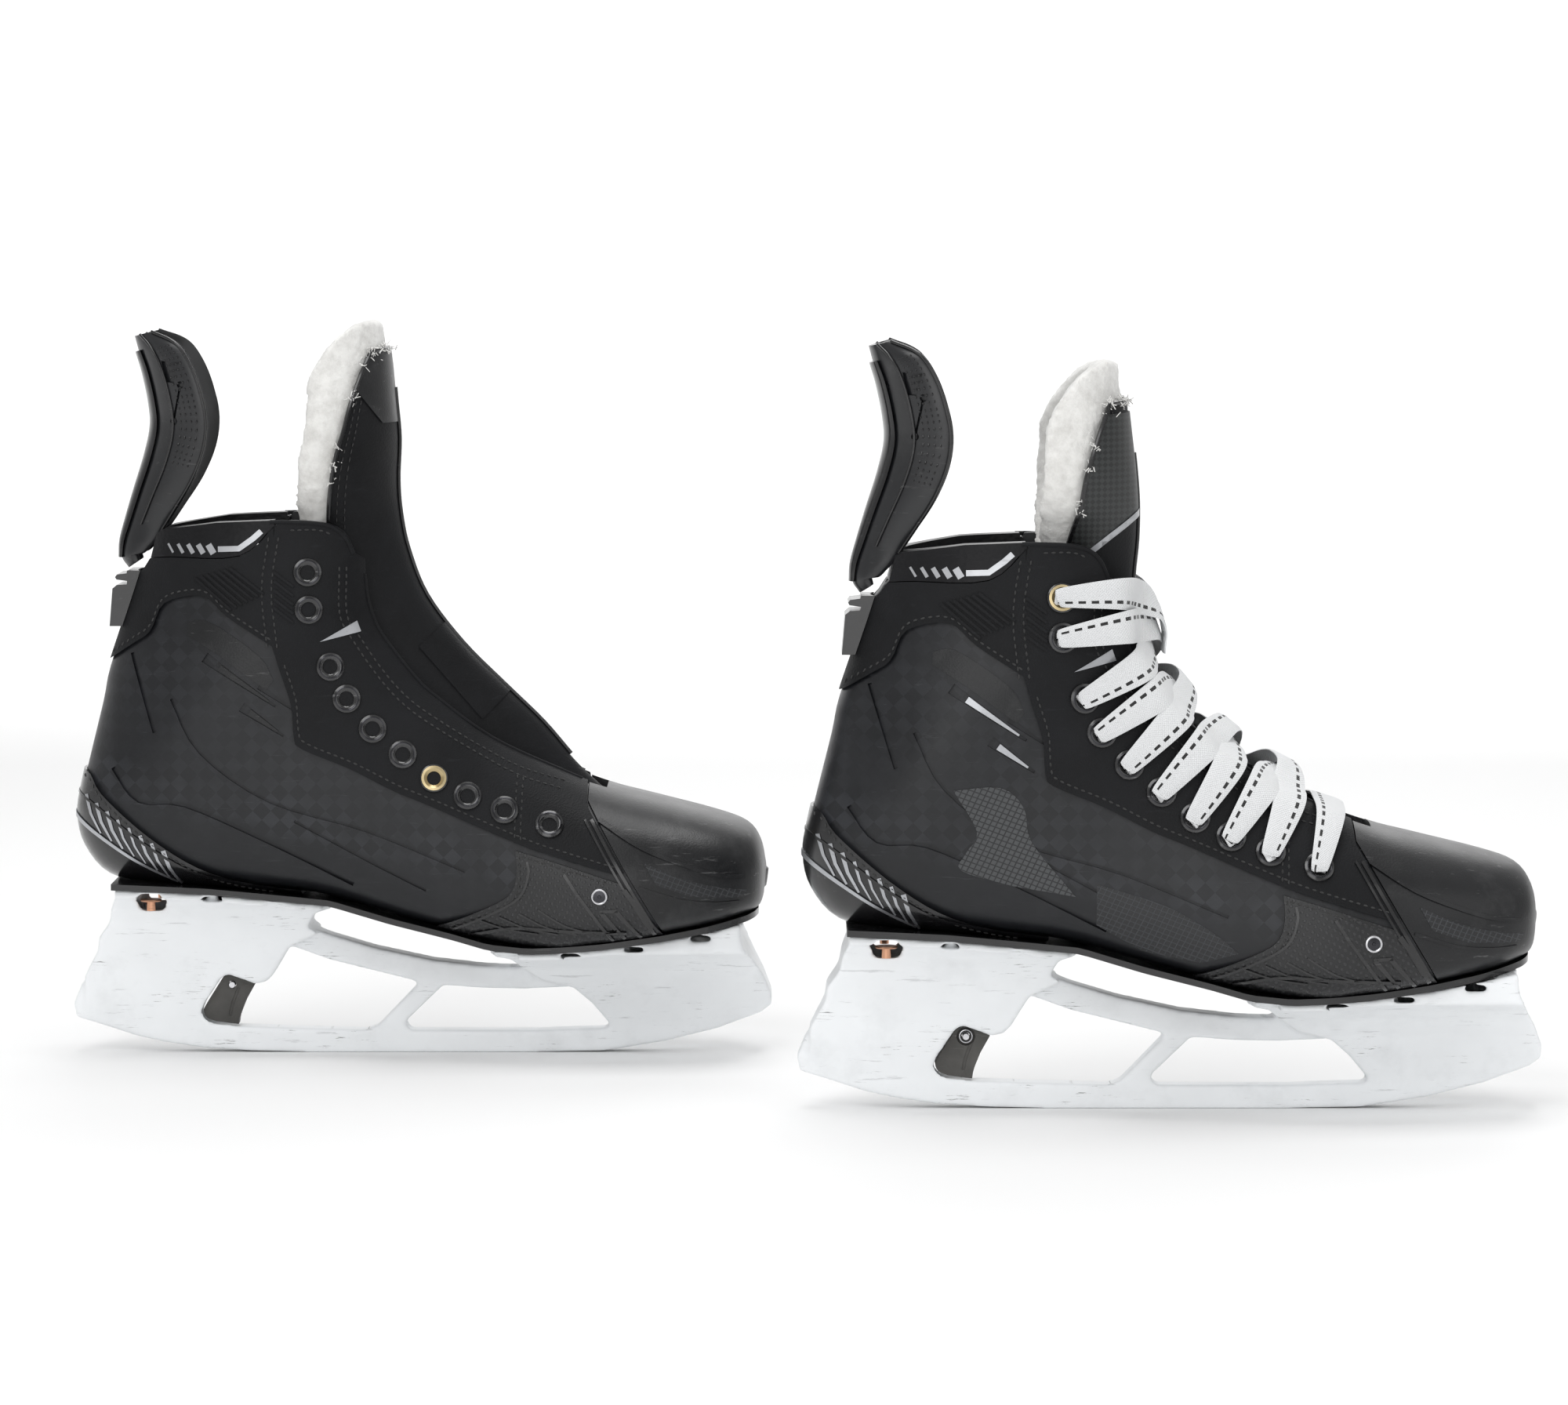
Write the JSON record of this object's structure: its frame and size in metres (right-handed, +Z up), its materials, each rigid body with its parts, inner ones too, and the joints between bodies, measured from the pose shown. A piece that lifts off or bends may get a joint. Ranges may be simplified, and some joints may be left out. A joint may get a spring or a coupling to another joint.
{
  "type": "pair of ice hockey skates",
  "caption": "Black ice hockey skate pair: stiff carbon boots, felt tongues, tendon guards, white blade holders without runners; the right skate is laced.",
  "frame": {"origin": "on the floor, under the middle of the pair's bounding box", "axes": "+X to the toes, +Z up, left skate at +Y and the right one at -Y, 300 mm ahead"},
  "size_m": [0.5898, 0.254, 0.3037],
  "materials": {
    "carbon": "satin charcoal composite",
    "wrap": "matte synthetic leather",
    "rubber": "glossy moulded rubber",
    "pad": "soft satin foam skin",
    "satin": "satin black",
    "felt": "brushed white felt",
    "lining": "napped lining",
    "plastic": "moulded black plastic",
    "holder": "satin white, scuffed",
    "trigger": "matte grey",
    "steel": "brushed",
    "copper": "copper, dull",
    "enamel": "black enamel",
    "lace": "flat woven white"
  },
  "bodies": {
    "skates": {"left_quarter_shell": "carbon", "left_toe_cap": "satin", "left_outsole": "rubber", "left_footbed": "lining", "left_liner": "lining", "left_ankle_wrap": "wrap", "left_heel_wrap": "rubber", "left_facing_inner": "wrap", "left_facing_outer": "wrap", "left_forefoot_wrap_inner": "rubber", "left_forefoot_wrap_outer": "rubber", "left_collar_pad_inner": "pad", "left_collar_pad_outer": "pad", "left_eyelets_inner": "enamel", "left_eyelets_outer": "enamel", "left_flex_screw_inner": "steel", "left_flex_screw_outer": "steel", "left_guard_base": "plastic", "left_blade_holder": "holder", "left_trigger_pin": "steel", "left_trigger_spring": "steel", "left_rivet_inner": "copper", "left_rivet_outer": "copper", "right_quarter_shell": "carbon", "right_toe_cap": "satin", "right_outsole": "rubber", "right_footbed": "lining", "right_liner": "lining", "right_ankle_wrap": "wrap", "right_heel_wrap": "rubber", "right_facing_inner": "wrap", "right_facing_outer": "wrap", "right_forefoot_wrap_inner": "rubber", "right_forefoot_wrap_outer": "rubber", "right_collar_pad_inner": "pad", "right_collar_pad_outer": "pad", "right_eyelets_inner": "enamel", "right_eyelets_outer": "enamel", "right_flex_screw_inner": "steel", "right_flex_screw_outer": "steel", "right_tongue_felt": "felt", "right_tongue_face": "wrap", "right_guard_base": "plastic", "right_blade_holder": "holder", "right_trigger_pin": "steel", "right_trigger_spring": "steel", "right_rivet_inner": "copper", "right_rivet_outer": "copper", "right_lace": "lace"},
    "left_tongue": {"left_tongue_felt": "felt", "left_tongue_face": "wrap"},
    "left_guard": {"left_tendon_guard": "plastic"},
    "right_guard": {"right_tendon_guard": "plastic"},
    "left_trigger": {"left_runner_trigger": "trigger"},
    "right_trigger": {"right_runner_trigger": "trigger"}
  },
  "joints": [
    {"name": "left_tongue_flip", "type": "hinge", "parent": "skates", "child": "left_tongue", "pos_m": [-0.079, 0.075, 0.108], "axis": [0, 1, 0], "range_deg": [0, 32]},
    {"name": "left_guard_flex", "type": "hinge", "parent": "skates", "child": "left_guard", "pos_m": [-0.2702, 0.075, 0.2012], "axis": [0, 1, 0], "range_deg": [-22, 0], "stiffness_Nm_per_rad": 0.5},
    {"name": "left_trigger_pull", "type": "hinge", "parent": "skates", "child": "left_trigger", "pos_m": [-0.229, 0.075, 0.0282], "axis": [0, 1, 0], "range_deg": [0, 13], "stiffness_Nm_per_rad": 0.03, "springref_deg": -5.73},
    {"name": "right_guard_flex", "type": "hinge", "parent": "skates", "child": "right_guard", "pos_m": [0.0298, -0.075, 0.2012], "axis": [0, 1, 0], "range_deg": [-22, 0], "stiffness_Nm_per_rad": 0.5},
    {"name": "right_trigger_pull", "type": "hinge", "parent": "skates", "child": "right_trigger", "pos_m": [0.071, -0.075, 0.0282], "axis": [0, 1, 0], "range_deg": [0, 13], "stiffness_Nm_per_rad": 0.03, "springref_deg": -5.73}
  ]
}
